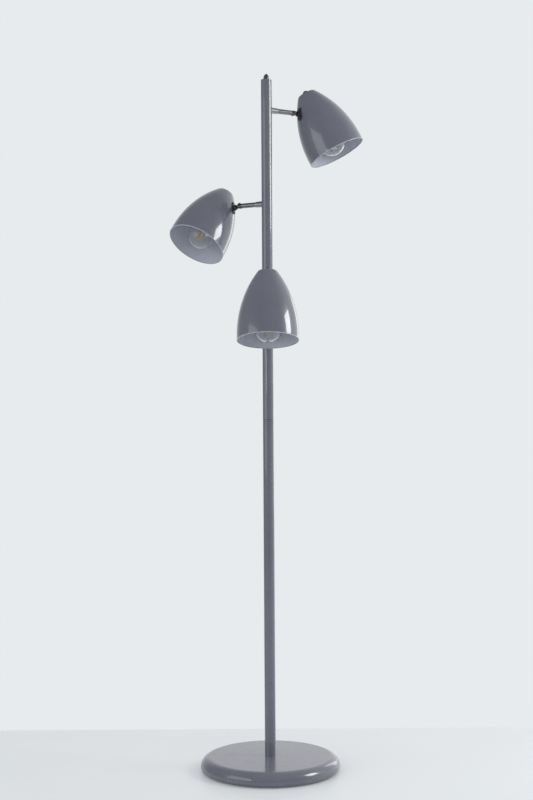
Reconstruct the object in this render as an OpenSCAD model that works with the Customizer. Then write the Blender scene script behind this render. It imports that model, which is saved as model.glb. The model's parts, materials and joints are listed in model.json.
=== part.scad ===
// Floor lamp: three swivelling spotlights on one pole over a weighted round base.
// Millimetres. The origin is on the floor under the pole, +Z is up, and the lower spotlight faces -Y.

/* [Base] */
// Height of the whole lamp, from the floor to the tip of the finial
total_height = 1500; // [1350:10:1700]
// Diameter of the base
base_diameter = 300; // [270:5:360]
// Height of the base's flat top above the floor
base_height = 31; // [28:0.5:40]
// Gap between the floor and the shell's lowest edge
base_lift = 1; // [0.5:0.5:2]
// Radius of the rounding under the base's widest line
base_foot_radius = 9; // [7:0.5:12]
// Sheet thickness of the base shell
base_wall = 1; // [0.8:0.1:2]
// Diameter of the iron ballast
ballast_diameter = 230; // [180:5:240]
// Thickness of the ballast's plate
ballast_plate = 9; // [6:0.5:12]
// Width of the ballast's standing rim
ballast_rim = 12; // [8:1:20]
// Diameter of the floor pad
pad_diameter = 276; // [250:2:278]
// Thickness of the floor pad
pad_thickness = 2.5; // [2:0.5:4]

/* [Cord inlet] */
// Height of the cord inlet above the floor
inlet_height = 13; // [12:0.5:16]
// Bore of the cord grommet
inlet_bore = 6.6; // [5:0.2:7]
// Diameter of the grommet's neck, in the shell
grommet_neck = 9; // [8:0.5:10]
// Diameter of the grommet's flanges
grommet_flange = 12; // [11:0.5:14]
// Thickness of the grommet's flanges
grommet_lip = 1.2; // [1:0.1:2]

/* [Pole] */
// Outer diameter of the pole
pole_diameter = 23.5; // [22:0.5:28]
// Wall thickness of the pole's tubes
pole_wall = 1.2; // [1:0.1:1.4]
// Height of the middle of the ring between the two tubes
joint_height = 752.5; // [650:5:850]
// Height of that ring
joint_ring = 3.7; // [2.5:0.1:8]
// Depth of the shadow groove at each side of the ring
joint_groove_depth = 0.8; // [0.4:0.1:1]
// Height of each shadow groove
joint_groove = 0.5; // [0.3:0.1:1]
// Length of the joint's spigot in each tube
joint_spigot = 30; // [20:1:50]
// Bore through the joint, for the leads
joint_bore = 12; // [8:0.5:14]
// Diameter of the threaded stud that holds the pole on the base
stud_diameter = 10; // [8:1:12]
// Bore of that stud, for the leads
stud_bore = 6.6; // [5:0.2:7]
// Height of the threaded insert in the pole's foot
foot_insert = 25; // [15:1:40]
// Width of the stud's nut across its flats
stud_nut_width = 17; // [17:0.5:22]
// Thickness of the stud's nut
stud_nut_height = 6; // [4:0.5:8]

/* [Pole top] */
// Thickness of the disc on the pole's end
cap_thickness = 2.5; // [1.5:0.1:5]
// Length of the disc's plug in the tube
cap_plug = 9; // [6:1:15]
// Height of the finial
finial_height = 13; // [10:0.5:20]
// Diameter of the finial's foot
finial_foot = 14.8; // [13:0.2:20]
// Diameter of the finial's acorn
finial_diameter = 12.6; // [10:0.2:13]
// Diameter of the finial's threaded end
finial_thread = 4; // [3:0.5:5]

/* [Arms] */
// Distance from the lamp's top down to the upper arm
upper_arm_drop = 78; // [60:1:140]
// Distance from one arm to the next one down
arm_pitch = 202; // [185:1:215]
// Direction of the upper arm, anticlockwise from +X
upper_direction = 30; // [20:1:40]
// Direction of the middle arm, anticlockwise from +X
middle_direction = 150; // [140:1:160]
// Direction of the lower arm, anticlockwise from +X
lower_direction = -90; // [-100:1:-80]
// Distance from the pole's axis to a knuckle's screw
pivot_reach = 67.6; // [60:0.1:80]
// Distance from the pole's axis to the outer end of a collar
collar_reach = 26.2; // [24:0.1:32]
// Diameter of a collar at the pole
collar_root = 14; // [13:0.1:16]
// Diameter of a collar at its outer end
collar_tip = 12.2; // [11:0.1:13]
// Diameter of a rod
rod_diameter = 10.6; // [10:0.1:11]
// Diameter of the rod's spigot, which turns in the collar
spigot_diameter = 7; // [6:0.1:7.2]
// Bore of a rod and its knuckle, for the leads
lead_bore = 3; // [2:0.2:3.4]

/* [Swivels] */
// Turn of the upper spotlight about its arm, from hanging down
upper_turn = -18.2; // [-30:0.2:30]
// Turn of the middle spotlight about its arm, from hanging down
middle_turn = 36; // [0:0.2:50]
// Turn of the lower spotlight about its arm, from hanging down
lower_turn = 0; // [-30:0.2:30]
// Bend of the upper knuckle
upper_bend = 4; // [0:0.1:30]
// Bend of the middle knuckle
middle_bend = 16.1; // [0:0.1:30]
// Bend of the lower knuckle
lower_bend = 11.4; // [0:0.1:30]
// Width of a fork across its flats
fork_width = 8.8; // [8.6:0.1:9.4]
// Thickness of the tongue in the fork
tongue_width = 4; // [3.6:0.1:4.2]
// Height of the tongue
tongue_height = 7.6; // [7:0.1:7.8]
// Diameter of the knuckle's screw
screw_diameter = 4; // [3:0.1:4]
// Distance from a knuckle's screw to the shade's wall
stub_reach = 16.6; // [15.6:0.1:22]
// Diameter of the stub's shoulder
stub_shoulder = 12; // [11:0.2:14]
// Diameter of the stub's threaded end
stub_thread = 9.8; // [8:0.1:10]
// Length of the threaded end beyond the shade's wall
stub_tail = 8.2; // [7.5:0.1:10]
// Height of the saddle flange on the shade
flange_height = 28; // [22:0.5:30]
// Width of the saddle flange
flange_width = 13; // [12:0.5:20]
// Thickness of the saddle flange at its middle
flange_thickness = 2.4; // [1.8:0.1:3]

/* [Shade] */
// Height of a shade, from its rim to its flat top
shade_height = 149; // [146:1:165]
// Largest diameter of a shade
shade_diameter = 128; // [120:0.5:135]
// Height of the widest line above the rim
shade_widest = 13; // [10:0.5:24]
// Radius of the shade's long side curve
shade_side_radius = 231; // [215:1:245]
// Radius of the rounding round the flat top
shade_shoulder = 5; // [3:0.5:8]
// Sheet thickness of a shade
shade_wall = 0.8; // [0.6:0.1:1.2]
// Thickness of the rolled bead at the rim
rim_bead = 1.8; // [1.4:0.1:2.4]
// Height of the stub's hole above the rim
stub_height = 108.8; // [102:0.2:116]

/* [Lampholder and bulb] */
// Height of the bulb's tip above the rim
bulb_tip = -2.5; // [-4:0.5:5]
// Diameter of the bulb
bulb_diameter = 60; // [55:1:62]
// Length of the bulb with its cap
bulb_length = 105; // [100:1:108]
// Thickness of the bulb's glass
bulb_wall = 0.8; // [0.6:0.1:1.2]
// Diameter of the glass neck
bulb_neck = 26; // [24:0.5:27]
// Diameter of the bulb's screw cap
bulb_cap_diameter = 26.2; // [26:0.1:26.4]
// Length of the screw cap with its contact
bulb_cap_length = 26; // [24:0.5:28]
// Diameter of the lampholder
holder_diameter = 39; // [36:0.5:40]
// Depth of the lampholder's mouth
holder_depth = 25; // [22:0.5:25.5]
// Thickness of the lampholder's floor
holder_floor = 8; // [6:0.5:9]
// Height of the cap on the lampholder
holder_cap_height = 17; // [15:0.5:18]
// Diameter of the stud between the lampholder and the shade's top
holder_stud = 6; // [5:0.5:6]
// Diameter of the spacer tube on that stud
spacer_diameter = 11; // [9:0.5:12]
// Width of the nut on top of the shade across its flats
top_nut_width = 12; // [10:0.2:13]
// Height of that nut with its dome
top_nut_height = 5.4; // [5:0.2:8]
// Diameter of the washer under that nut
top_washer_diameter = 18; // [16:0.5:20]
// Number of light sticks in a bulb
stick_count = 4; // [3:1:8]

/* [Hidden] */
// Fits: between pieces that seat on each other, and the running gaps that move
fit_gap = 0.05;
run_gap = 0.1;
side_gap = 0.1;
loose_gap = 0.3;
overshoot = 1;
// Overlap of two tangent curves, so that they meet in one clean edge
tangent_overlap = 0.003;

base_radius = base_diameter / 2;
base_widest = base_lift + base_foot_radius;
base_edge_radius = base_height - base_widest;
base_mouth = base_radius - base_foot_radius;
ballast_top = base_height - base_wall;
ballast_slot = 14;
washer_thickness = 1.6;
washer_overlap = 5;
stud_foot = ballast_top - ballast_plate - washer_thickness - stud_nut_height - 2;
stud_top = base_height + foot_insert - 3;

pole_radius = pole_diameter / 2;
pole_bore = pole_radius - pole_wall;
pole_top = total_height - finial_height - cap_thickness;
joint_half = joint_ring / 2 + joint_groove;
upper_arm = total_height - upper_arm_drop;

rod_radius = rod_diameter / 2;
collar_neck = spigot_diameter + 2.8;
clip_thickness = 1;
clip_diameter = spigot_diameter + 3;
clip_inner_end = sqrt(pow(pole_bore - 0.4, 2) - pow(clip_diameter / 2, 2)) - clip_thickness;
collar_inner_end = clip_inner_end + clip_thickness + run_gap;
spigot_end = clip_inner_end - 0.8;
clip_groove = 0.6;

slot_width = tongue_width + 2 * side_gap;
tongue_radius = tongue_height / 2;
slot_roof = tongue_radius + 0.2;
slot_depth = tongue_radius + 0.4;
fork_flat_length = rod_radius + 0.6;
shoulder_start = stub_reach - flange_thickness - 5.4;
screw_head_diameter = 6.8;
screw_head_height = 1.7;
screw_nut_width = 7;
screw_nut_height = 2;
screw_slot = 0.9;

shade_radius = shade_diameter / 2;
side_centre = shade_radius - shade_side_radius;
// The stub stands square on the wall, so the wall's lean there sets how the shade hangs on it
wall_lean = asin((stub_height - shade_widest) / shade_side_radius);
stub_radius = side_centre + shade_side_radius * cos(wall_lean);
shoulder_angle = asin((shade_height - shade_shoulder - shade_widest) / (shade_side_radius - shade_shoulder));
shoulder_centre = [
    side_centre + (shade_side_radius - shade_shoulder) * cos(shoulder_angle),
    shade_height - shade_shoulder
];
// Radius of the middle of the wall at the rim
rim_radius = side_centre + sqrt(pow(shade_side_radius, 2) - pow(shade_widest, 2)) - shade_wall / 2;
inner_washer_diameter = 18;
inner_washer = 2;
shade_nut_width = 14;
shade_nut_height = 4;

bulb_radius = bulb_diameter / 2;
bulb_centre = bulb_tip + bulb_radius;
bulb_end = bulb_tip + bulb_length;
neck_level = bulb_end - bulb_cap_length - 1;
neck_rise = neck_level - bulb_centre;
neck_half = bulb_neck / 2;
// Radius of the hollow neck curve, which meets the ball and the neck without a corner
neck_curve = (pow(neck_half, 2) + pow(neck_rise, 2) - pow(bulb_radius, 2)) / (2 * (bulb_radius - neck_half));
neck_lean = atan2(neck_rise, neck_half + neck_curve);
holder_mouth = bulb_end - holder_depth;
holder_top = bulb_end + holder_floor;
holder_spigot = 5;
holder_cap_top = holder_top + holder_cap_height;
holder_wall = 3;
stud_seat = 9;
lead_diameter = 4;
top_washer = 2.2;
// Length of the holder stud that enters the nut on top
top_thread = 2.6;

// Name, direction, height, turn and bend of each spotlight
HEADS = [
    ["upper", upper_direction, upper_arm, upper_turn, upper_bend],
    ["middle", middle_direction, upper_arm - arm_pitch, middle_turn, middle_bend],
    ["lower", lower_direction, upper_arm - 2 * arm_pitch, lower_turn, lower_bend]
];
STAND_NODES = [
    "base_shell", "base_ballast", "base_pad", "base_nut", "cord_grommet", "pole_stud",
    "lower_tube", "tube_joint", "upper_tube", "pole_cap", "finial"
];
HEAD_NODES = [
    "collar", "rod", "rod_clip", "knuckle_screw", "knuckle_stub", "shade_flange", "shade_nut", "shade",
    "top_nut", "holder_stud", "holder_cap", "lampholder", "lead", "bulb_cap", "bulb_glass", "bulb_filament"
];
$fn = 96;
// Sides of a circle that is a true hexagon
HEX = 6;

PAINT = [0.43, 0.44, 0.48];
DARK_CHROME = [0.2, 0.2, 0.22];
STEEL = [0.62, 0.62, 0.64];
BLACK = [0.08, 0.08, 0.08];
AMBER = [0.9, 0.62, 0.2];

// A round bar along +X, from x1 to x2
module bar_x(x1, x2, d1, d2 = undef) {
    translate([x1, 0, 0])
        rotate([0, 90, 0])
            cylinder(h = x2 - x1, d1 = d1, d2 = d2 == undef ? d1 : d2);
}

// A round bar along Y, centred on the XZ plane
module bar_y(width, d) {
    rotate([90, 0, 0])
        cylinder(h = width, d = d, center = true);
}

// Corner to corner size of a hexagon with this width across its flats
function across_corners(width) = width / cos(30);

module hex_nut(width, height, bore) {
    difference() {
        cylinder(h = height, d = across_corners(width), $fn = HEX);
        translate([0, 0, -overshoot])
            cylinder(h = height + 2 * overshoot, d = bore);
    }
}

module washer(d, height, bore) {
    difference() {
        cylinder(h = height, d = d);
        translate([0, 0, -overshoot])
            cylinder(h = height + 2 * overshoot, d = bore);
    }
}

// Half section of the base's body, drawn in by the given amount
module base_section(inset) {
    for (part = [[base_edge_radius, 0, 0], [base_foot_radius, -1, inset - base_foot_radius]]) {
        radius = part[0];
        translate([0, base_widest + part[2]])
            square([base_radius - radius, radius - inset]);
        translate([base_radius - radius, base_widest])
            intersection() {
                circle(r = radius - inset);
                translate([0, part[1] * radius])
                    square(radius);
            }
    }
}

module base_body(inset) {
    rotate_extrude()
        base_section(inset);
}

module base_shell() {
    color(PAINT)
        difference() {
            rotate_extrude()
                difference() {
                    base_section(0);
                    base_section(base_wall);
                    square([base_mouth, base_widest]);
                }
            cylinder(h = base_height + overshoot, d = stud_diameter + 2 * loose_gap);
            translate([0, base_radius, inlet_height])
                bar_y(base_foot_radius * 2, grommet_neck + 2 * fit_gap);
        }
}

// An iron plate under the shell's top, on a standing rim that reaches down to the pad
module base_ballast() {
    edge = 1.5;
    radius = ballast_diameter / 2;
    color([0.25, 0.25, 0.26])
        difference() {
            rotate_extrude()
                polygon([
                    [stud_diameter / 2 + loose_gap, ballast_top - ballast_plate],
                    [radius - ballast_rim, ballast_top - ballast_plate],
                    [radius - ballast_rim, pad_thickness],
                    [radius, pad_thickness],
                    [radius, ballast_top - edge],
                    [radius - edge, ballast_top],
                    [stud_diameter / 2 + loose_gap, ballast_top]
                ]);
            translate([-ballast_slot / 2, 0, 0])
                cube([ballast_slot, radius + overshoot, ballast_top - ballast_plate]);
        }
}

module base_pad() {
    color(BLACK)
        cylinder(h = pad_thickness, d = pad_diameter);
}

module base_nut() {
    seat = ballast_top - ballast_plate - washer_thickness;
    color(STEEL) {
        translate([0, 0, seat])
            washer(stud_nut_width + 2 * washer_overlap, washer_thickness, stud_diameter + 2 * loose_gap);
        translate([0, 0, seat - stud_nut_height])
            hex_nut(stud_nut_width, stud_nut_height, stud_diameter + 2 * fit_gap);
    }
}

// A rubber grommet whose two flanges follow the shell's curve inside and out
module cord_grommet() {
    inner_end = base_radius - base_wall - 3 * grommet_lip;
    outer_end = base_radius + grommet_lip;
    length = outer_end - inner_end;
    middle = [0, (inner_end + outer_end) / 2, inlet_height];
    color(BLACK)
        difference() {
            union() {
                difference() {
                    translate(middle)
                        bar_y(length, grommet_flange);
                    difference() {
                        base_body(-fit_gap);
                        base_body(base_wall + fit_gap);
                    }
                }
                translate(middle)
                    bar_y(length, grommet_neck);
            }
            translate(middle)
                bar_y(2 * length, inlet_bore);
        }
}

// The hollow stud through the base, and the threaded insert that it enters in the pole's foot
module pole_stud() {
    color(STEEL) {
        translate([0, 0, stud_foot])
            washer(stud_diameter, stud_top - stud_foot, stud_bore);
        translate([0, 0, base_height])
            washer(2 * (pole_bore - fit_gap), foot_insert, stud_diameter + 2 * fit_gap);
    }
}

module tube(z1, z2) {
    translate([0, 0, z1])
        washer(pole_diameter, z2 - z1, 2 * pole_bore);
}

module lower_tube() {
    color(PAINT)
        tube(base_height, joint_height - joint_half);
}

module tube_joint() {
    core = pole_radius - joint_groove_depth;
    color(PAINT)
        translate([0, 0, joint_height])
            rotate_extrude()
                difference() {
                    union() {
                        translate([0, -joint_ring / 2])
                            square([pole_radius, joint_ring]);
                        translate([0, -joint_half])
                            square([core, 2 * joint_half]);
                        translate([0, -joint_half - joint_spigot])
                            square([pole_bore - fit_gap, 2 * (joint_half + joint_spigot)]);
                    }
                    translate([0, -joint_half - joint_spigot - overshoot])
                        square([joint_bore / 2, 2 * (joint_half + joint_spigot + overshoot)]);
                }
}

module upper_tube() {
    color(PAINT)
        difference() {
            tube(joint_height + joint_half, pole_top);
            for (h = HEADS)
                on_arm(h)
                    bar_x(0, pole_diameter, collar_neck + 2 * fit_gap);
        }
}

module pole_cap() {
    edge = 0.5;
    color(PAINT)
        translate([0, 0, pole_top])
            rotate_extrude()
                difference() {
                    union() {
                        polygon([
                            [0, 0],
                            [pole_radius, 0],
                            [pole_radius, cap_thickness - edge],
                            [pole_radius - edge, cap_thickness],
                            [0, cap_thickness]
                        ]);
                        translate([0, -cap_plug])
                            square([pole_bore - fit_gap, cap_plug]);
                    }
                    translate([0, -cap_plug - overshoot])
                        square([finial_thread / 2 + fit_gap, cap_plug + cap_thickness + 2 * overshoot]);
                }
}

// A foot ring, a waist and a pointed acorn with a round tip, on a threaded end that enters the cap
module finial() {
    foot = 2.1;
    waist = 0.9;
    tip = 3;
    acorn = finial_height - foot - waist;
    half = finial_diameter / 2;
    // Radius of the acorn's side curve, which meets the round tip without a corner
    side = (pow(acorn - tip, 2) + pow(half, 2) - pow(tip, 2)) / (2 * (half - tip));
    meet = side * (acorn - tip) / (side - tip);
    color(DARK_CHROME)
        translate([0, 0, pole_top + cap_thickness])
            rotate_extrude() {
                translate([0, -cap_plug])
                    square([finial_thread / 2, cap_plug + foot]);
                square([(finial_foot - foot) / 2, foot]);
                translate([(finial_foot - foot) / 2, foot / 2])
                    circle(d = foot, $fn = 48);
                square([half - 1, foot + waist]);
                translate([0, foot + waist]) {
                    intersection() {
                        square([half, meet]);
                        translate([half - side, 0])
                            circle(r = side);
                    }
                    intersection() {
                        square([half, acorn]);
                        translate([0, acorn - tip])
                            circle(r = tip);
                    }
                }
            }
}

// Frames: x runs out along the arm, then out along the stub, and z up the shade's own axis
module on_arm(h) {
    rotate([0, 0, h[1]])
        translate([0, 0, h[2]])
            children();
}

module on_rod(h) {
    on_arm(h)
        rotate([h[3], 0, 0])
            children();
}

module on_knuckle(h) {
    on_rod(h)
        translate([pivot_reach, 0, 0])
            rotate([0, h[4], 0])
                children();
}

module in_shade() {
    translate([stub_reach, 0, 0])
        rotate([0, -wall_lean, 0])
            translate([stub_radius, 0, -stub_height])
                children();
}

module on_shade(h) {
    on_knuckle(h)
        in_shade()
            children();
}

module collar() {
    color(DARK_CHROME)
        difference() {
            union() {
                difference() {
                    bar_x(0, collar_reach, collar_root, collar_tip);
                    cylinder(h = 2 * collar_root, r = pole_radius + fit_gap, center = true);
                }
                bar_x(collar_inner_end, collar_reach - 1, collar_neck);
            }
            bar_x(0, collar_reach + overshoot, spigot_diameter + 2 * fit_gap);
        }
}

// The rod turns on its spigot in the collar and ends in a fork, whose slot opens at its end and below
module rod() {
    color(DARK_CHROME)
        difference() {
            union() {
                bar_x(spigot_end, collar_reach + 2, spigot_diameter);
                bar_x(collar_reach + run_gap, pivot_reach, rod_diameter);
                intersection() {
                    bar_x(pivot_reach - 1, pivot_reach + rod_radius, rod_diameter);
                    translate([pivot_reach, 0, 0])
                        bar_y(2 * rod_diameter, rod_diameter);
                }
            }
            for (side = [-1, 1])
                translate([pivot_reach - fork_flat_length, side * (fork_width + rod_radius) / 2, 0])
                    translate([0, -rod_radius / 2, -rod_diameter])
                        cube([2 * rod_diameter, rod_radius, 2 * rod_diameter]);
            translate([pivot_reach - slot_depth, -slot_width / 2, slot_roof - 2 * rod_diameter])
                cube([2 * rod_diameter, slot_width, 2 * rod_diameter]);
            translate([pivot_reach, 0, 0])
                bar_y(2 * rod_diameter, screw_diameter + 2 * fit_gap);
            bar_x(0, pivot_reach - slot_depth + overshoot, lead_bore);
            difference() {
                bar_x(clip_inner_end - fit_gap, collar_inner_end - fit_gap, 2 * spigot_diameter);
                bar_x(0, pole_bore, spigot_diameter - 2 * clip_groove);
            }
        }
}

// A spring clip in the spigot's groove, open on one side
module rod_clip() {
    opening = spigot_diameter - 2 * clip_groove;
    color(STEEL)
        difference() {
            bar_x(clip_inner_end, clip_inner_end + clip_thickness, clip_diameter);
            bar_x(0, pole_bore, opening + 2 * fit_gap);
            translate([0, -opening / 2 + 0.4, -2 * clip_diameter])
                cube([pole_bore, opening - 0.8, 2 * clip_diameter]);
        }
}

// The slotted screw across the fork, and its nut
module knuckle_screw() {
    color(STEEL)
        translate([pivot_reach, 0, 0]) {
            difference() {
                rotate([90, 0, 0]) {
                    translate([0, 0, -fork_width / 2 - screw_nut_height])
                        cylinder(h = fork_width + screw_nut_height, d = screw_diameter);
                    translate([0, 0, fork_width / 2])
                        intersection() {
                            cylinder(h = screw_head_height, d = screw_head_diameter);
                            translate([0, 0, screw_head_height - screw_head_diameter])
                                sphere(r = screw_head_diameter);
                        }
                }
                translate([-screw_head_diameter, -fork_width / 2 - 2 * screw_head_height, -screw_slot / 2])
                    cube([2 * screw_head_diameter, 1.5 * screw_head_height, screw_slot]);
            }
            translate([0, fork_width / 2, 0])
                rotate([-90, 0, 0])
                    hex_nut(screw_nut_width, screw_nut_height, screw_diameter + 2 * fit_gap);
        }
}

// The tongue in the fork, its shoulder, and the threaded end through the shade's wall
module knuckle_stub() {
    color(DARK_CHROME)
        difference() {
            union() {
                bar_y(tongue_width, tongue_height);
                translate([0, -tongue_width / 2, -tongue_radius])
                    cube([shoulder_start + 1, tongue_width, tongue_height]);
                bar_x(shoulder_start, stub_reach - flange_thickness, stub_shoulder);
                bar_x(shoulder_start + 1, stub_reach + stub_tail, stub_thread);
            }
            bar_y(2 * tongue_width, screw_diameter + 2 * fit_gap);
            bar_x(tongue_radius + 0.6, stub_reach + stub_tail + overshoot, lead_bore);
        }
}

// Half section of the shade's body, drawn in by the given amount
module shade_section(inset) {
    top = shade_height - inset;
    wedge = 3 * shade_shoulder;
    out = [cos(shoulder_angle), sin(shoulder_angle)];
    difference() {
        intersection() {
            translate([side_centre, shade_widest])
                circle(r = shade_side_radius - inset, $fn = 360);
            translate([0, -overshoot])
                square([shade_diameter, top + overshoot]);
        }
        difference() {
            translate(shoulder_centre)
                polygon([[0, 0], wedge * out, wedge * [out[0], 1], [0, wedge]]);
            translate(shoulder_centre)
                circle(r = shade_shoulder - inset + tangent_overlap);
        }
    }
}

module shade_body(inset) {
    rotate_extrude()
        shade_section(inset);
}

// A thin spun bell with a rolled bead at its rim, a hole in its top and one in its side
module shade() {
    color(PAINT)
        difference() {
            rotate_extrude() {
                difference() {
                    shade_section(0);
                    shade_section(shade_wall);
                    translate([0, -2 * overshoot])
                        square([shade_diameter, 2 * overshoot + rim_bead / 2]);
                }
                translate([rim_radius, rim_bead / 2])
                    circle(d = rim_bead, $fn = 32);
            }
            translate([0, 0, shade_height - shade_shoulder])
                cylinder(h = 2 * shade_shoulder, d = holder_stud + 2 * fit_gap);
            translate([-stub_radius, 0, stub_height])
                rotate([0, wall_lean, 0])
                    bar_x(-shade_shoulder, shade_shoulder, stub_thread + 2 * fit_gap);
        }
}

// A dark saddle under the stub's shoulder, narrow and upright, hollowed to sit on the round wall
module shade_flange() {
    edge = 0.6;
    face = stub_reach - flange_thickness;
    back = stub_reach + flange_height / 4;
    color(BLACK)
        difference() {
            intersection() {
                union() {
                    bar_x(face, face + edge, flange_height - 2 * edge, flange_height);
                    bar_x(face + edge, back, flange_height);
                }
                translate([0, -flange_width / 2, -flange_height])
                    cube([back + overshoot, flange_width, 2 * flange_height]);
            }
            in_shade()
                shade_body(-fit_gap);
            bar_x(0, 2 * stub_reach, stub_thread + 2 * fit_gap);
        }
}

// Inside the shade: a washer crowned to the wall, and the nut that clamps it
module shade_nut() {
    seat = stub_reach + shade_wall + inner_washer;
    color(STEEL) {
        difference() {
            intersection() {
                bar_x(stub_reach - inner_washer, seat, inner_washer_diameter);
                in_shade()
                    shade_body(shade_wall + fit_gap);
            }
            bar_x(0, 2 * stub_reach, stub_thread + 2 * fit_gap);
        }
        translate([seat, 0, 0])
            rotate([0, 90, 0])
                hex_nut(shade_nut_width, shade_nut_height, stub_thread + 2 * fit_gap);
    }
}

// On the shade's flat top: a washer and a domed nut
module top_nut() {
    nut = top_nut_height - top_nut_width / 4;
    color(BLACK)
        translate([0, 0, shade_height]) {
            washer(top_washer_diameter, top_washer, holder_stud + 2 * fit_gap);
            translate([0, 0, top_washer])
                difference() {
                    intersection() {
                        cylinder(h = top_nut_height, d = across_corners(top_nut_width), $fn = HEX);
                        union() {
                            cylinder(h = nut - 0.6, d = 2 * top_nut_width);
                            translate([0, 0, nut - 0.6])
                                cylinder(h = 0.6, d1 = across_corners(top_nut_width), d2 = top_nut_width);
                            translate([0, 0, top_nut_height - top_nut_width * 0.55])
                                sphere(r = top_nut_width * 0.55);
                        }
                    }
                    translate([0, 0, -overshoot])
                        cylinder(h = top_thread + 4 * fit_gap + overshoot, d = holder_stud + 2 * fit_gap);
                }
        }
}

// The stud that hangs the lampholder from the shade's top, with its spacer tube
module holder_stud() {
    color(STEEL) {
        translate([0, 0, holder_cap_top - stud_seat])
            cylinder(h = shade_height + top_washer + top_thread - holder_cap_top + stud_seat, d = holder_stud);
        translate([0, 0, holder_cap_top])
            washer(spacer_diameter, shade_height - shade_wall - holder_cap_top, holder_stud + 2 * fit_gap);
    }
}

module holder_cap() {
    round_edge = 8;
    radius = holder_diameter / 2;
    color(BLACK)
        rotate_extrude()
            difference() {
                union() {
                    translate([0, holder_top])
                        square([radius, holder_cap_height - round_edge]);
                    translate([0, holder_top])
                        square([radius - round_edge, holder_cap_height]);
                    translate([radius - round_edge, holder_cap_top - round_edge])
                        circle(r = round_edge);
                }
                translate([0, holder_top - overshoot])
                    square([radius - holder_wall + fit_gap, holder_spigot + overshoot + fit_gap]);
                translate([0, holder_cap_top - stud_seat])
                    square([holder_stud / 2 + fit_gap, stud_seat + overshoot]);
            }
}

// The lampholder: a ribbed skirt, a smooth bore for the bulb's cap, and a spigot under its own cap
module lampholder() {
    radius = holder_diameter / 2;
    groove = 0.8;
    grooves = 3;
    color(BLACK)
        rotate_extrude()
            difference() {
                union() {
                    translate([0, holder_mouth])
                        square([radius, holder_top - holder_mouth]);
                    translate([0, holder_mouth])
                        square([radius - holder_wall, holder_top - holder_mouth + holder_spigot]);
                }
                translate([0, holder_mouth - overshoot])
                    square([bulb_cap_diameter / 2 + loose_gap, holder_depth + overshoot]);
                for (k = [1 : grooves])
                    translate([radius, holder_mouth + k * 2.5])
                        circle(r = groove, $fn = 24);
            }
}

// A sleeve with the two leads, straight from the stub's end to the lampholder's side
module lead() {
    start = stub_reach + stub_tail;
    color([0.85, 0.84, 0.8])
        difference() {
            bar_x(start, start + stub_radius, lead_diameter);
            in_shade()
                cylinder(h = shade_height, d = holder_diameter + 2 * fit_gap);
            in_shade()
                translate([holder_diameter / 2, -holder_diameter, 0])
                    cube([2 * holder_diameter, 2 * holder_diameter, shade_height]);
        }
}

module bulb_cap() {
    rim = 1.5;
    taper = 4;
    contact = 1;
    shell = bulb_cap_diameter / 2;
    color(STEEL)
        rotate_extrude()
            polygon([
                [0, neck_level],
                [neck_half, neck_level],
                [neck_half, neck_level + rim],
                [shell, neck_level + rim],
                [shell, bulb_end - taper],
                [shell / 2, bulb_end - contact],
                [shell / 3, bulb_end],
                [0, bulb_end]
            ]);
}

// Half section of the bulb's outline, drawn in by the given amount: a ball and a hollow-curved neck
module bulb_section(inset) {
    intersection() {
        translate([0, bulb_centre])
            circle(r = bulb_radius - inset, $fn = 180);
        translate([0, bulb_tip - overshoot])
            square([bulb_diameter, bulb_diameter + 2 * overshoot]);
    }
    difference() {
        translate([0, bulb_centre])
            square([bulb_radius * cos(neck_lean), neck_rise]);
        translate([neck_half + neck_curve, neck_level])
            circle(r = neck_curve + inset + tangent_overlap, $fn = 180);
    }
}

module bulb_glass() {
    color([0.85, 0.9, 0.95, 0.35])
        rotate_extrude()
            difference() {
                bulb_section(0);
                bulb_section(bulb_wall);
            }
}

// A glass stem on the cap that carries a cage of upright light sticks between two wire rings
module bulb_filament() {
    wire = 1;
    stick = 2.8;
    top_ring = 4.5;
    low_ring = 8.5;
    high = bulb_centre + bulb_radius * 0.66;
    low = bulb_centre - bulb_radius * 0.44;
    lean = atan2(low_ring - top_ring, high - low);
    color(AMBER) {
        translate([0, 0, neck_level - 1.5])
            cylinder(h = 1.5, r = neck_half - bulb_wall - loose_gap);
        translate([0, 0, high - 1])
            cylinder(h = neck_level - high, d = 4.4);
        translate([0, 0, high - wire / 2])
            cylinder(h = wire, r = top_ring);
        translate([0, 0, low])
            rotate_extrude()
                translate([low_ring, 0])
                    circle(d = wire, $fn = 24);
        for (k = [0 : stick_count - 1])
            rotate([0, 0, k * 360 / stick_count])
                translate([low_ring, 0, low])
                    rotate([0, -lean, 0])
                        cylinder(h = (high - low) / cos(lean), d = stick, $fn = 24);
    }
}

base_shell();
base_ballast();
base_pad();
base_nut();
cord_grommet();
pole_stud();
lower_tube();
tube_joint();
upper_tube();
pole_cap();
finial();
for (h = HEADS) {
    on_arm(h) collar();
    on_rod(h) rod();
    on_rod(h) rod_clip();
    on_rod(h) knuckle_screw();
    on_knuckle(h) knuckle_stub();
    on_knuckle(h) shade_flange();
    on_knuckle(h) shade_nut();
    on_shade(h) shade();
    on_shade(h) top_nut();
    on_shade(h) holder_stud();
    on_shade(h) holder_cap();
    on_shade(h) lampholder();
    on_knuckle(h) lead();
    on_shade(h) bulb_cap();
    on_shade(h) bulb_glass();
    on_shade(h) bulb_filament();
}
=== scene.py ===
import json
import math

import bmesh
import bpy
from mathutils import Matrix, Vector


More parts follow.
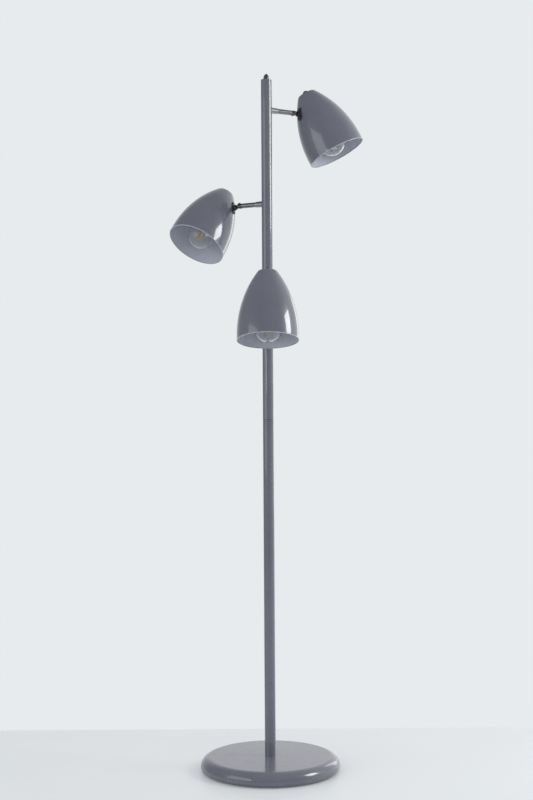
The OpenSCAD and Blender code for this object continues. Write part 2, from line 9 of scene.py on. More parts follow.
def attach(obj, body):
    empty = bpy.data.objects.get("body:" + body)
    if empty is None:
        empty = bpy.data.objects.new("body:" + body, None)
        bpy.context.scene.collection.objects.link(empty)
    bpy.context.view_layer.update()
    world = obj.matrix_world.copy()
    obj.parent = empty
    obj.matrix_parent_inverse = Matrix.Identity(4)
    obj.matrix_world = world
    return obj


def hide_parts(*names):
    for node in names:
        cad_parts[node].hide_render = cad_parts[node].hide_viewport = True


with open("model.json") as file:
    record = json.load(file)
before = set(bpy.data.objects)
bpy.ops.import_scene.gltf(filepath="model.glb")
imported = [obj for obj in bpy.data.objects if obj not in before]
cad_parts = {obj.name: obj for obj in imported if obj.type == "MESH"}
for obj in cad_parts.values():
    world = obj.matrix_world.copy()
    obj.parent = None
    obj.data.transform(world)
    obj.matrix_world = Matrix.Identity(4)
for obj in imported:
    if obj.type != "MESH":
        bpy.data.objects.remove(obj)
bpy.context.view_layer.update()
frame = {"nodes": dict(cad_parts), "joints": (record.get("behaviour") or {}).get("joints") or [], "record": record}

MM = 0.001

HEADS = ("upper", "middle", "lower")
JOINTS = {j["name"]: j for j in frame["joints"]}

# Sizes of the base and the pole, as in the frame
BASE_RADIUS = 150 * MM
BASE_HEIGHT = 31 * MM
BASE_LIFT = 1 * MM
BASE_FOOT_RADIUS = 9 * MM
BASE_WALL = 1 * MM
BASE_HOLE_RADIUS = 5.3 * MM
INLET_HEIGHT = 13 * MM
INLET_HOLE_RADIUS = 4.55 * MM
POLE_RADIUS = 11.75 * MM
POLE_BORE = 10.55 * MM
POLE_TOP = 1484.5 * MM
PLUG_RADIUS = 10.5 * MM
JOINT_HEIGHT = 752.5 * MM
JOINT_RING = 3.7 * MM
JOINT_GROOVE = 0.5 * MM
JOINT_CORE_RADIUS = 10.95 * MM
JOINT_SPIGOT = 30 * MM
JOINT_BORE = 6 * MM
CAP_THICKNESS = 2.5 * MM
CAP_PLUG = 9 * MM
CAP_HOLE_RADIUS = 2.05 * MM
COLLAR_HOLE_RADIUS = 4.95 * MM

# How far a broken edge is cut back, the segments round a painted piece,
# and the angle in degrees from which an edge stays sharp
EDGE = 0.15 * MM
PAINTED_SEGMENTS = 160
CREASE = 35

# Sizes of the shade, as in the frame
SHADE_HEIGHT = 149 * MM
SHADE_RADIUS = 64 * MM
SHADE_WIDEST = 13 * MM
SHADE_SIDE_RADIUS = 231 * MM
SHADE_SHOULDER = 5 * MM
SHADE_WALL = 0.8 * MM
RIM_BEAD = 1.8 * MM
STUB_HEIGHT = 108.8 * MM
STUB_REACH = 16.6 * MM

# Sizes of the bulb, from its tip up, and the tip's height above the rim
BULB_TIP = -2.5 * MM
BULB_RADIUS = 30 * MM
BULB_WALL = 0.8 * MM
NECK_RADIUS = 13 * MM
NECK_LEVEL = 78 * MM
BULB_END = 105 * MM
CAP_RADIUS = 13.1 * MM
CAP_SHELL_END = BULB_END - 5 * MM
THREAD_PITCH = 3.6 * MM
THREAD_DEPTH = 0.9 * MM

# Light sticks: the levels of their ends and how far these are from the bulb's axis,
# and the metal tabs and wires at their ends
STICK_COUNT = 4
STICK_RADIUS = 1.4 * MM
STICK_HIGH = BULB_RADIUS * 1.66
STICK_LOW = BULB_RADIUS * 0.50
STICK_HIGH_RADIUS = 4.5 * MM
STICK_LOW_RADIUS = 8.5 * MM
STICK_INSET = 1.5 * MM
TAB_OUT = 0.8 * MM
TAB_IN = 2.2 * MM
TAB_RADIUS = 0.45 * MM
WIRE_START = 0.6 * MM
WIRE_RADIUS = 0.22 * MM


# Where the heads are

def knuckle_frame(head):
    """x out along the stub, y along the knuckle's screw, from the screw's middle."""
    turn, bend = JOINTS[head + "_turn"], JOINTS[head + "_bend"]
    y = Vector(bend["axis"])
    rest = math.radians(-bend["range_deg"][0])
    x = Matrix.Rotation(rest, 3, y) @ Vector(turn["axis"])
    axes = Matrix((x, y, x.cross(y))).transposed()
    return Matrix.Translation(Vector(bend["pos_m"])) @ axes.to_4x4()


def shade_frame(head):
    """z up the shade's own axis, from the middle of its rim plane."""
    lean = math.asin((STUB_HEIGHT - SHADE_WIDEST) / SHADE_SIDE_RADIUS)
    radius = SHADE_RADIUS - SHADE_SIDE_RADIUS * (1 - math.cos(lean))
    wall = Matrix.Translation((STUB_REACH, 0, 0)) @ Matrix.Rotation(-lean, 4, "Y")
    return knuckle_frame(head) @ wall @ Matrix.Translation((radius, 0, -STUB_HEIGHT))


def bulb_frame(head):
    """z up the bulb's axis, from its tip."""
    return shade_frame(head) @ Matrix.Translation((0, 0, BULB_TIP))


# Mesh building

def arc(centre, radius, start, end, steps):
    """Points (r, z) on an arc, with its angles in degrees from +r towards +z."""
    points = []
    for k in range(steps + 1):
        a = math.radians(start + (end - start) * k / steps)
        points.append((centre[0] + radius * math.cos(a), centre[1] + radius * math.sin(a)))
    return points


def smooth(mesh, crease=CREASE):
    """Smooth shading, but for the edges that turn by more than crease degrees."""
    mesh.shade_smooth()
    mesh.set_sharp_from_angle(angle=math.radians(crease))


def new_object(name, bm, crease=CREASE):
    mesh = bpy.data.meshes.new(name)
    bm.to_mesh(mesh)
    bm.free()
    smooth(mesh, crease)
    piece = bpy.data.objects.new(name, mesh)
    bpy.context.scene.collection.objects.link(piece)
    return piece


def lathe(name, profile, place, segments, crease=CREASE):
    """Turns a profile of (r, z) points round z.

    A profile with both ends on the axis is closed there, and any other is closed end to end.
    """
    bm = bmesh.new()
    rings = []
    for r, z in profile:
        if r == 0:
            rings.append([bm.verts.new((0, 0, z))])
            continue
        ring = []
        for k in range(segments):
            a = 2 * math.pi * k / segments
            ring.append(bm.verts.new((r * math.cos(a), r * math.sin(a), z)))
        rings.append(ring)
    pairs = list(zip(rings, rings[1:]))
    if len(rings[0]) > 1 or len(rings[-1]) > 1:
        pairs.append((rings[-1], rings[0]))
    for low, high in pairs:
        for k in range(segments):
            n = (k + 1) % segments
            if len(low) == 1:
                bm.faces.new((low[0], high[n], high[k]))
            elif len(high) == 1:
                bm.faces.new((low[k], low[n], high[0]))
            else:
                bm.faces.new((low[k], low[n], high[n], high[k]))
    bmesh.ops.recalc_face_normals(bm, faces=bm.faces)
    bm.transform(place)
    return new_object(name, bm, crease)


def bar(bm, start, end, radius, segments):
    """A closed round bar between two points."""
    start, end = Vector(start), Vector(end)
    turn = (end - start).to_track_quat("Z", "Y").to_matrix().to_4x4()
    middle = Matrix.Translation((start + end) / 2)
    bmesh.ops.create_cone(
        bm, cap_ends=True, segments=segments, radius1=radius, radius2=radius,
        depth=(end - start).length, matrix=middle @ turn,
    )


def drill(piece, start, end, radius):
    """Cuts a round hole between two points through a piece."""
    bm = bmesh.new()
    bar(bm, start, end, radius, segments=64)
    cutter = new_object("cutter", bm)
    hole = piece.modifiers.new("hole", "BOOLEAN")
    hole.operation = "DIFFERENCE"
    hole.solver = "EXACT"
    hole.object = cutter
    graph = bpy.context.evaluated_depsgraph_get()
    mesh = bpy.data.meshes.new_from_object(piece.evaluated_get(graph))
    piece.modifiers.clear()
    piece.data = mesh
    smooth(mesh)
    bpy.data.objects.remove(cutter)


# Materials

def material(name):
    """A new node material, with its Principled shader and a function that adds nodes to it."""
    mat = bpy.data.materials.new(name)
    mat.use_nodes = True
    tree = mat.node_tree
    shader = tree.nodes["Principled BSDF"]

    def add(kind, **values):
        node = tree.nodes.new(kind)
        for key, value in values.items():
            if key in node.inputs:
                node.inputs[key].default_value = value
            else:
                setattr(node, key, value)
        return node
    return mat, shader, add, tree.links.new


def noise(add, link, scale, detail=3):
    """Noise in object space, whose scale is in features per metre."""
    place = add("ShaderNodeTexCoord")
    node = add("ShaderNodeTexNoise", Scale=scale, Detail=detail)
    link(place.outputs["Object"], node.inputs["Vector"])
    return node.outputs["Fac"]


def spread(add, link, value, low, high):
    """Maps noise from 0.3 to 0.7 onto low to high."""
    node = add("ShaderNodeMapRange")
    for key, number in (("From Min", 0.3), ("From Max", 0.7), ("To Min", low), ("To Max", high)):
        node.inputs[key].default_value = number
    link(value, node.inputs["Value"])
    return node.outputs["Result"]


def tint(add, link, value, dark, light):
    """A colour that runs from dark to light as noise goes from 0.35 to 0.65."""
    node = add("ShaderNodeValToRGB")
    node.color_ramp.elements[0].position = 0.35
    node.color_ramp.elements[1].position = 0.65
    node.color_ramp.elements[0].color = (*dark, 1)
    node.color_ramp.elements[1].color = (*light, 1)
    link(value, node.inputs["Fac"])
    return node.outputs["Color"]


def bump(add, link, shader, value, height, strength):
    node = add("ShaderNodeBump", Strength=strength, Distance=height)
    link(value, node.inputs["Height"])
    link(node.outputs["Normal"], shader.inputs["Normal"])


def paint_material(name, dark, light, rough, coat):
    """Sprayed gloss lacquer: slight cloudiness, a fine orange peel and uneven gloss."""
    mat, shader, add, link = material(name)
    cloud = noise(add, link, scale=14)
    smear = noise(add, link, scale=30, detail=2)
    peel = noise(add, link, scale=400, detail=1)
    link(tint(add, link, cloud, dark, light), shader.inputs["Base Color"])
    link(spread(add, link, smear, rough - 0.03, rough + 0.04), shader.inputs["Roughness"])
    shader.inputs["Coat Weight"].default_value = coat
    shader.inputs["Coat Roughness"].default_value = 0.035
    bump(add, link, shader, peel, height=0.002 * MM, strength=0.3)
    return mat


def metal_material(name, dark, light, rough, grain=1400):
    """Plated or cast metal: a slightly cloudy colour, smeared gloss and a fine grain."""
    mat, shader, add, link = material(name)
    cloud = noise(add, link, scale=60)
    smear = noise(add, link, scale=160)
    shader.inputs["Metallic"].default_value = 1
    link(tint(add, link, cloud, dark, light), shader.inputs["Base Color"])
    link(spread(add, link, smear, rough * 0.85, rough * 1.2), shader.inputs["Roughness"])
    bump(add, link, shader, noise(add, link, scale=grain), height=0.002 * MM, strength=0.25)
    return mat


def plastic_material(name, dark, light, rough):
    """Moulded plastic or rubber: a slightly cloudy colour, uneven gloss and a fine grain."""
    mat, shader, add, link = material(name)
    cloud = noise(add, link, scale=90)
    smear = noise(add, link, scale=300)
    grain = noise(add, link, scale=1500, detail=4)
    link(tint(add, link, cloud, dark, light), shader.inputs["Base Color"])
    link(spread(add, link, smear, rough - 0.07, rough + 0.07), shader.inputs["Roughness"])
    bump(add, link, shader, grain, height=0.03 * MM, strength=0.4)
    return mat


def glass_material(name):
    """Blown clear glass with faint waves."""
    mat, shader, add, link = material(name)
    haze = noise(add, link, scale=70)
    waves = noise(add, link, scale=45, detail=1)
    shader.inputs["Base Color"].default_value = (0.97, 0.985, 0.99, 1)
    shader.inputs["Transmission Weight"].default_value = 1
    shader.inputs["IOR"].default_value = 1.5
    link(spread(add, link, haze, 0, 0.03), shader.inputs["Roughness"])
    bump(add, link, shader, waves, height=0.05 * MM, strength=0.2)
    return mat


PAINT = paint_material("grey_paint", (0.163, 0.168, 0.208), (0.178, 0.183, 0.224), 0.26, 1.0)
INNER_PAINT = paint_material("inner_paint", (0.68, 0.70, 0.79), (0.72, 0.74, 0.83), 0.40, 0.2)
# Lighter paint on the shades' rolled rim bead: a painted highlight along the rim's edge
RIM_HIGHLIGHT_PAINT = paint_material("rim_painted_highlight", (0.44, 0.45, 0.51), (0.50, 0.51, 0.57), 0.34, 0.6)
DARK_CHROME = metal_material("dark_chrome", (0.26, 0.26, 0.28), (0.32, 0.32, 0.34), 0.30)
COLLAR_CHROME = metal_material("collar_chrome", (0.34, 0.35, 0.39), (0.42, 0.43, 0.47), 0.32)
BLACK_NICKEL = metal_material("black_nickel", (0.09, 0.085, 0.09), (0.14, 0.13, 0.14), 0.36)
ZINC = metal_material("zinc_plate", (0.48, 0.48, 0.50), (0.60, 0.60, 0.60), 0.32)
BRONZE = metal_material("screw_bronze", (0.16, 0.105, 0.09), (0.24, 0.165, 0.14), 0.35)
IRON = metal_material("cast_iron", (0.05, 0.05, 0.055), (0.09, 0.09, 0.09), 0.6, grain=700)
ALUMINIUM = metal_material("cap_metal", (0.70, 0.70, 0.70), (0.80, 0.80, 0.79), 0.30)
BLACK = plastic_material("black_plastic", (0.012, 0.012, 0.013), (0.022, 0.022, 0.024), 0.38)
DARK_PLASTIC = plastic_material("dark_plastic", (0.034, 0.031, 0.030), (0.050, 0.046, 0.044), 0.30)
RUBBER = plastic_material("black_rubber", (0.010, 0.010, 0.010), (0.020, 0.020, 0.020), 0.75)
SLEEVE = plastic_material("lead_sleeve", (0.62, 0.60, 0.54), (0.72, 0.70, 0.64), 0.6)
AMBER = plastic_material("amber_phosphor", (0.93, 0.58, 0.05), (1.0, 0.68, 0.09), 0.45)
GLASS = glass_material("clear_glass")

SLOT_MATERIALS = {
    "paint": PAINT, "dark_chrome": DARK_CHROME, "zinc": ZINC, "screw": BRONZE, "iron": IRON,
    "pad": RUBBER, "rubber": RUBBER, "black_plastic": BLACK, "sleeve": SLEEVE,
    "bulb_metal": ALUMINIUM, "clear_glass": GLASS, "amber": AMBER,
}


def dress(piece, *mats):
    piece.data.materials.clear()
    for mat in mats:
        piece.data.materials.append(mat)


for part in frame["record"]["subparts"]:
    dress(frame["nodes"][part["node"]], SLOT_MATERIALS[part["material_slot"]])
for head in HEADS:
    dress(frame["nodes"][head + "_collar"], COLLAR_CHROME)
    dress(frame["nodes"][head + "_knuckle_stub"], BLACK_NICKEL)
    dress(frame["nodes"][head + "_shade_flange"], DARK_PLASTIC)


# Base and pole

def stand_piece(name, profile, node):
    """A painted piece of the stand, turned round the pole's axis, that stands for a node."""
    piece = lathe(name, profile, Matrix(), PAINTED_SEGMENTS)
    dress(piece, PAINT)
    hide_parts(node)
    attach(piece, "stand")
    return piece


def base_profile():
    """The shell's wall, from its hole over the outside to the foot and back up inside."""
    widest = BASE_LIFT + BASE_FOOT_RADIUS
    edge_radius = BASE_HEIGHT - widest
    mouth = BASE_RADIUS - BASE_FOOT_RADIUS
    flat = BASE_RADIUS - edge_radius
    points = [(BASE_HOLE_RADIUS, BASE_HEIGHT)]
    points += arc((flat, widest), edge_radius, 90, 0, 36)
    points += arc((mouth, widest), BASE_FOOT_RADIUS, 0, -90, 18)[1:]
    points += arc((mouth, widest), BASE_FOOT_RADIUS - BASE_WALL, -90, 0, 18)
    points += arc((flat, widest), edge_radius - BASE_WALL, 0, 90, 36)[1:]
    return points + [(BASE_HOLE_RADIUS, BASE_HEIGHT - BASE_WALL)]


def tube_profile(low, high, arms=()):
    """A tube with broken edges, and rings above and below each arm's hole."""
    room = 2 * COLLAR_HOLE_RADIUS
    rings = sorted(z + side * room for z in arms for side in (-1, 1))
    outer = [(POLE_RADIUS - EDGE, low), (POLE_RADIUS, low + EDGE)]
    outer += [(POLE_RADIUS, z) for z in rings]
    outer += [(POLE_RADIUS, high - EDGE), (POLE_RADIUS - EDGE, high)]
    return outer + [(POLE_BORE, z) for z in (high, *reversed(rings), low)]


def joint_profile():
    """The ring between the tubes, its two grooves and the spigot that enters both tubes."""
    ring = JOINT_RING / 2
    groove = ring + JOINT_GROOVE
    half = [
        (POLE_RADIUS, ring - EDGE), (POLE_RADIUS - EDGE, ring), (JOINT_CORE_RADIUS, ring),
        (JOINT_CORE_RADIUS, groove), (PLUG_RADIUS, groove),
        (PLUG_RADIUS, groove + JOINT_SPIGOT - EDGE), (PLUG_RADIUS - EDGE, groove + JOINT_SPIGOT),
        (JOINT_BORE, groove + JOINT_SPIGOT),
    ]
    points = [(r, -z) for r, z in reversed(half)] + half
    return [(r, JOINT_HEIGHT + z) for r, z in points]


def cap_profile():
    """The pole's end cap: a plug in the tube, and a flat top with a rounded edge."""
    points = [
        (CAP_HOLE_RADIUS, -CAP_PLUG), (PLUG_RADIUS - EDGE, -CAP_PLUG),
        (PLUG_RADIUS, EDGE - CAP_PLUG), (PLUG_RADIUS, 0),
        (POLE_RADIUS - EDGE, 0), (POLE_RADIUS, EDGE),
    ]
    points += arc((POLE_RADIUS - 2 * EDGE, CAP_THICKNESS - 2 * EDGE), 2 * EDGE, 0, 90, 6)
    return [(r, POLE_TOP + z) for r, z in points + [(CAP_HOLE_RADIUS, CAP_THICKNESS)]]


def paint_groove_shade(ring):
    """Black for all but the ring itself: painted shade in its two grooves and on the spigot, so that the grooves
    show as dark lines.
    """
    ring.data.materials.append(BLACK)
    vertices = ring.data.vertices
    for face in ring.data.polygons:
        reach = max(vertices[k].co.xy.length for k in face.vertices)
        # Faces in the grooves and on the spigot get black, as painted shade
        if reach < JOINT_CORE_RADIUS + EDGE:
            face.material_index = 1


def make_stand():
    shell = stand_piece("spun_base", base_profile(), "base_shell")
    inlet_start = (0, BASE_RADIUS - 2 * BASE_FOOT_RADIUS, INLET_HEIGHT)
    inlet_end = (0, BASE_RADIUS + EDGE, INLET_HEIGHT)
    drill(shell, inlet_start, inlet_end, INLET_HOLE_RADIUS)
    joint_half = JOINT_RING / 2 + JOINT_GROOVE
    stand_piece("lower_pole", tube_profile(BASE_HEIGHT, JOINT_HEIGHT - joint_half), "lower_tube")
    ring = stand_piece("pole_ring", joint_profile(), "tube_joint")
    # Painted shade in the joint ring's grooves
    paint_groove_shade(ring)
    arms = [JOINTS[head + "_turn"] for head in HEADS]
    heights = [arm["pos_m"][2] for arm in arms]
    upper_profile = tube_profile(JOINT_HEIGHT + joint_half, POLE_TOP, heights)
    upper = stand_piece("upper_pole", upper_profile, "upper_tube")
    for arm in arms:
        start = Vector(arm["pos_m"])
        drill(upper, start, start + Vector(arm["axis"]) * 2 * POLE_RADIUS, COLLAR_HOLE_RADIUS)
    stand_piece("pole_end_cap", cap_profile(), "pole_cap")


make_stand()


# Shades

def shade_profile():
    """The shade's wall, from the middle of its top down inside, round the bead and up outside.

    With it come the numbers of the profile's rows at which the inside and the bead end.
    """
    centre = (SHADE_RADIUS - SHADE_SIDE_RADIUS, SHADE_WIDEST)
    reach = SHADE_SIDE_RADIUS - SHADE_SHOULDER
    turn = math.degrees(math.asin((SHADE_HEIGHT - SHADE_SHOULDER - SHADE_WIDEST) / reach))
    shoulder = (centre[0] + reach * math.cos(math.radians(turn)), SHADE_HEIGHT - SHADE_SHOULDER)
    bead = RIM_BEAD / 2
    bead_lift = math.sqrt(bead ** 2 - (SHADE_WALL / 2) ** 2)
    rim = centre[0] + math.sqrt(SHADE_SIDE_RADIUS ** 2 - SHADE_WIDEST ** 2) - SHADE_WALL / 2
    start = math.degrees(math.asin((bead + bead_lift - SHADE_WIDEST) / SHADE_SIDE_RADIUS))
    leave = math.degrees(math.asin(bead_lift / bead))
    inner = arc(centre, SHADE_SIDE_RADIUS - SHADE_WALL, turn, start, 60)
    inner_top = arc(shoulder, SHADE_SHOULDER - SHADE_WALL, 90, turn, 8)[:-1]
    edge = arc((rim, bead), bead, 180 - leave, 360 + leave, 14)[1:-1]
    outer = arc(centre, SHADE_SIDE_RADIUS, start, turn, 60)
    outer_top = arc(shoulder, SHADE_SHOULDER, turn, 90, 8)[1:]
    inside = [(0, SHADE_HEIGHT - SHADE_WALL), *inner_top, *inner]
    points = [*inside, *edge, *outer, *outer_top, (0, SHADE_HEIGHT)]
    return points, len(inside) - 1, len(inside) + len(edge)


def make_shade(head):
    points, inner_end, rim_end = shade_profile()
    shade = lathe(head + "_spun_shade", points, shade_frame(head), PAINTED_SEGMENTS)
    dress(shade, PAINT, INNER_PAINT, RIM_HIGHLIGHT_PAINT)
    for face in shade.data.polygons:
        row = face.index // PAINTED_SEGMENTS
        if row < inner_end:
            face.material_index = 1
        # The bead's faces get the lighter rim paint, a painted highlight
        elif row < rim_end:
            face.material_index = 2
    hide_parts(head + "_shade")
    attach(shade, head + "_head")


# Bulbs

def bulb_profile(inset):
    """The ball and the hollow-curved neck, from the tip up to the neck's end, drawn in by inset."""
    rise = NECK_LEVEL - BULB_RADIUS
    hollow = (NECK_RADIUS ** 2 + rise ** 2 - BULB_RADIUS ** 2) / (2 * (BULB_RADIUS - NECK_RADIUS))
    lean = math.degrees(math.atan2(rise, NECK_RADIUS + hollow))
    ball = arc((0, BULB_RADIUS), BULB_RADIUS - inset, -90, lean, 60)
    neck = arc((NECK_RADIUS + hollow, NECK_LEVEL), hollow + inset, 180 + lean, 180, 24)[1:]
    return ball + neck


def make_bulb_glass(head):
    outer = bulb_profile(0)
    inner = bulb_profile(BULB_WALL)
    outer[0] = (0, 0)
    inner[0] = (0, BULB_WALL)
    glass = lathe(head + "_blown_bulb", outer + inner[::-1], bulb_frame(head), 128)
    dress(glass, GLASS)
    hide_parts(head + "_bulb_glass")
    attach(glass, head + "_head")


def make_bulb_cap(head):
    """A screw cap with a rolled round thread, a black insulator and a contact button."""
    place = bulb_frame(head)
    thread_start = NECK_LEVEL + 3 * MM
    thread_end = BULB_END - 6 * MM
    segments = 72
    step = 0.3 * MM
    bm = bmesh.new()
    rings = []
    for level in range(round((CAP_SHELL_END - NECK_LEVEL) / step) + 1):
        z = NECK_LEVEL + level * step
        fade = max(0, min(1, (z - thread_start) / THREAD_PITCH, (thread_end - z) / THREAD_PITCH))
        ring = []
        for k in range(segments):
            a = 2 * math.pi * k / segments
            wave = (1 - math.cos(2 * math.pi * z / THREAD_PITCH - a)) / 2
            r = min(CAP_RADIUS, NECK_RADIUS + z - NECK_LEVEL) - THREAD_DEPTH * fade * wave
            ring.append(bm.verts.new((r * math.cos(a), r * math.sin(a), z)))
        rings.append(ring)
    for low, high in zip(rings, rings[1:]):
        for k in range(segments):
            n = (k + 1) % segments
            bm.faces.new((low[k], low[n], high[n], high[k]))
    bm.faces.new(rings[0][::-1])
    bm.faces.new(rings[-1])
    bmesh.ops.recalc_face_normals(bm, faces=bm.faces)
    bm.transform(place)
    cap = new_object(head + "_screw_cap", bm, crease=50)
    dress(cap, ALUMINIUM)
    insulator_end = BULB_END - 1 * MM
    insulator = lathe(head + "_cap_insulator", [
        (0, CAP_SHELL_END), (CAP_RADIUS * 0.9, CAP_SHELL_END),
        (CAP_RADIUS * 0.5, insulator_end), (0, insulator_end),
    ], place, 64)
    dress(insulator, BLACK)
    button_start = BULB_END - 1.2 * MM
    button = lathe(head + "_cap_contact", [
        (0, button_start), (CAP_RADIUS * 0.36, button_start),
        (CAP_RADIUS * 0.3, BULB_END), (0, BULB_END),
    ], place, 48)
    dress(button, ZINC)
    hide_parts(head + "_bulb_cap")
    for piece in (cap, insulator, button):
        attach(piece, head + "_head")


def stem_profile():
    """The glass stem that holds the wires, with its flare in the bulb's neck."""
    thin = 2.2 * MM
    flare = 10.5 * MM
    end = NECK_LEVEL - 0.2 * MM
    return [
        (0, STICK_HIGH + 4.5 * MM), (1.6 * MM, STICK_HIGH + 5 * MM), (thin, STICK_HIGH + 7 * MM),
        (thin, NECK_LEVEL - 16 * MM), (3 * MM, NECK_LEVEL - 10 * MM),
        (5.5 * MM, NECK_LEVEL - 5 * MM), (flare, NECK_LEVEL - 1.5 * MM),
        (flare, end), (0, end),
    ]


def make_light_sticks(head):
    """Amber sticks with metal end tabs, on wires from a glass stem."""
    place = bulb_frame(head)
    sticks, wires = bmesh.new(), bmesh.new()
    hub = (0, 0, STICK_HIGH + 5 * MM)
    foot = (0, 0, STICK_LOW - 1 * MM)
    for k in range(STICK_COUNT):
        a = math.radians(360 / STICK_COUNT * k)
        out = Vector((math.cos(a), math.sin(a), 0))
        low = out * STICK_LOW_RADIUS + Vector((0, 0, STICK_LOW))
        high = out * STICK_HIGH_RADIUS + Vector((0, 0, STICK_HIGH))
        along = (high - low).normalized()
        bar(sticks, low + along * STICK_INSET, high - along * STICK_INSET, STICK_RADIUS, 20)
        for end, inward in ((low, along), (high, -along)):
            bar(wires, end - inward * TAB_OUT, end + inward * TAB_IN, TAB_RADIUS, 8)
        bar(wires, low - along * WIRE_START, foot, WIRE_RADIUS, 8)
        bar(wires, high + along * WIRE_START, hub, WIRE_RADIUS, 8)
    knot_radius = 0.9 * MM
    bar(wires, (0, 0, STICK_LOW - 1.4 * MM), (0, 0, STICK_LOW - 0.4 * MM), knot_radius, 16)
    lead_radius = 0.3 * MM
    for x in (-1.1 * MM, 1.1 * MM):
        bar(wires, (x, 0, STICK_HIGH + 4 * MM), (x, 0, NECK_LEVEL + 1 * MM), lead_radius, 8)
    for bm in (sticks, wires):
        bm.transform(place)
    stick_piece = new_object(head + "_light_sticks", sticks)
    dress(stick_piece, AMBER)
    wire_piece = new_object(head + "_stick_wires", wires)
    dress(wire_piece, ZINC)
    stem = lathe(head + "_glass_stem", stem_profile(), place, 48, crease=60)
    dress(stem, GLASS)
    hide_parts(head + "_bulb_filament")
    for piece, slot in ((stick_piece, "amber"), (wire_piece, "zinc"), (stem, "clear_glass")):
        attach(piece, head + "_head")


for head in HEADS:
    make_shade(head)
    make_bulb_glass(head)
    make_bulb_cap(head)
    make_light_sticks(head)


# Studio

def make_floor():
    """A pale floor that ends a little way behind the lamp, where the pale backdrop starts."""
    depth_behind = 0.367
    side = 3.0
    dark = (0.69, 0.71, 0.72)
    light = (0.71, 0.73, 0.74)
    glow_colour = (0.16, 0.165, 0.165, 1)
    bm = bmesh.new()
    corners = [(-side, -side), (side, -side), (side, depth_behind), (-side, depth_behind)]
    bm.faces.new([bm.verts.new((x, y, 0)) for x, y in corners])
    floor = new_object("floor", bm)
    mat, shader, add, link = material("pale_floor")
    cloud = noise(add, link, scale=3)
    link(tint(add, link, cloud, dark, light), shader.inputs["Base Color"])
    shader.inputs["Roughness"].default_value = 0.35
    glow = add("ShaderNodeEmission", Color=glow_colour)
    seen = add("ShaderNodeLightPath")
    link(seen.outputs["Is Camera Ray"], glow.inputs["Strength"])
    both = add("ShaderNodeAddShader")
    link(shader.outputs["BSDF"], both.inputs[0])
    link(glow.outputs["Emission"], both.inputs[1])
    link(both.outputs["Shader"], mat.node_tree.nodes["Material Output"].inputs["Surface"])
    dress(floor, mat)


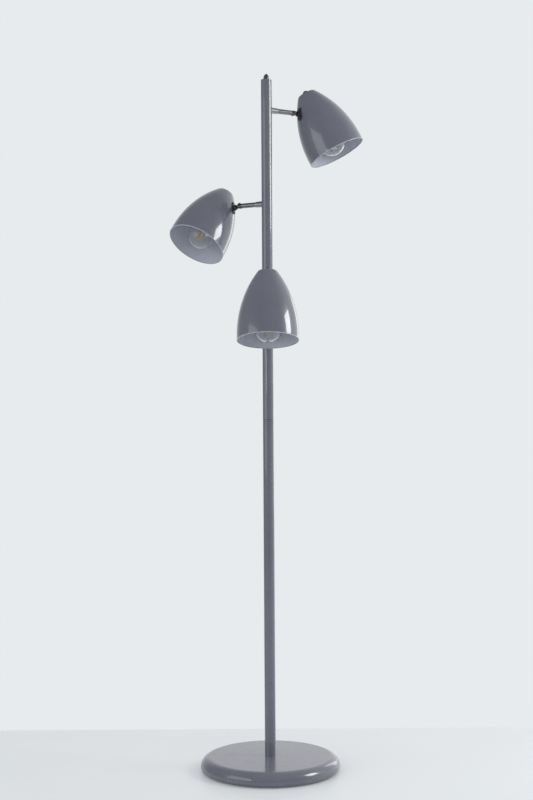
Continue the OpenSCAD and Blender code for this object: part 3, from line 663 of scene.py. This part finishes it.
def make_world():
    """Soft even light, and a pale backdrop for the camera and for glass.

    Gloss sees a backdrop of its own, pale at the right rear and dim at the left front.
    """
    light_colour = (0.94, 0.97, 1.0, 1)
    light_strength = 0.66
    backdrop_colour = (0.80, 0.83, 0.845, 1)
    gloss_pale_side = Vector((0.60, 0.70, -0.38))
    gloss_dim_colour = (0.15, 0.152, 0.16, 1)
    gloss_pale_colour = (0.90, 0.91, 0.94, 1)
    world = bpy.data.worlds.new("studio")
    bpy.context.scene.world = world
    world.use_nodes = True
    nodes, link = world.node_tree.nodes, world.node_tree.links.new
    light = nodes["Background"]
    light.inputs["Color"].default_value = light_colour
    light.inputs["Strength"].default_value = light_strength
    seen = nodes.new("ShaderNodeBackground")
    seen.inputs["Color"].default_value = backdrop_colour
    gloss = nodes.new("ShaderNodeBackground")
    place = nodes.new("ShaderNodeTexCoord")
    toward = nodes.new("ShaderNodeVectorMath")
    toward.operation = "DOT_PRODUCT"
    toward.inputs[1].default_value = gloss_pale_side
    link(place.outputs["Generated"], toward.inputs[0])
    ramp = nodes.new("ShaderNodeValToRGB")
    dim, pale = ramp.color_ramp.elements
    dim.position = 0.42
    dim.color = gloss_dim_colour
    pale.position = 0.95
    pale.color = gloss_pale_colour
    half = nodes.new("ShaderNodeMapRange")
    half.inputs["From Min"].default_value = -1
    link(toward.outputs["Value"], half.inputs["Value"])
    link(half.outputs["Result"], ramp.inputs["Fac"])
    link(ramp.outputs["Color"], gloss.inputs["Color"])
    path = nodes.new("ShaderNodeLightPath")
    direct = nodes.new("ShaderNodeMath")
    direct.operation = "MAXIMUM"
    link(path.outputs["Is Camera Ray"], direct.inputs[0])
    link(path.outputs["Is Transmission Ray"], direct.inputs[1])
    glossy = nodes.new("ShaderNodeMixShader")
    link(path.outputs["Is Glossy Ray"], glossy.inputs["Fac"])
    link(light.outputs["Background"], glossy.inputs[1])
    link(gloss.outputs["Background"], glossy.inputs[2])
    mix = nodes.new("ShaderNodeMixShader")
    link(direct.outputs["Value"], mix.inputs["Fac"])
    link(glossy.outputs["Shader"], mix.inputs[1])
    link(seen.outputs["Background"], mix.inputs[2])
    link(mix.outputs["Shader"], nodes["World Output"].inputs["Surface"])


def softbox(name, place, target, size, power):
    """A rectangular lamp that lights the target and that the camera doesn't see."""
    data = bpy.data.lights.new(name, "AREA")
    data.shape = "RECTANGLE"
    data.size, data.size_y = size
    data.energy = power
    lamp = bpy.data.objects.new(name, data)
    bpy.context.scene.collection.objects.link(lamp)
    lamp.location = place
    lamp.rotation_mode = "QUATERNION"
    lamp.rotation_quaternion = (Vector(target) - Vector(place)).to_track_quat("-Z", "Y")
    lamp.visible_camera = False


def make_camera():
    """The photograph's view: level, 0.8 m up and 3 m away, with a slight roll."""
    distance = 2.964
    eye_height = 0.797
    aside = -0.0037
    roll = math.radians(-0.35)
    focal_pixels = 1375
    picture_height = 800
    data = bpy.data.cameras.new("camera")
    data.lens = data.sensor_width * focal_pixels / picture_height
    camera = bpy.data.objects.new("camera", data)
    bpy.context.scene.collection.objects.link(camera)
    level = Matrix.Rotation(math.radians(90), 4, "X") @ Matrix.Rotation(roll, 4, "Z")
    camera.matrix_world = Matrix.Translation((aside, -distance, eye_height)) @ level
    bpy.context.scene.camera = camera


make_camera()
make_floor()
make_world()
softbox("key_right", (2.5, -0.35, 1.93), target=(0, 0, 1.0), size=(1.0, 0.92), power=25)
softbox("small_left", (-1.42, -2.06, 0.98), target=(0, 0, 0.98), size=(0.3, 0.3), power=1.5)
softbox("edge_right", (1.5, 2.1, 1.1), target=(0, 0, 1.0), size=(0.55, 1.5), power=3.5)
softbox("fill_left", (-2.1, -1.4, 1.25), target=(0, 0, 1.2), size=(1.7, 1.5), power=9)
bpy.context.scene.view_settings.view_transform = "Standard"
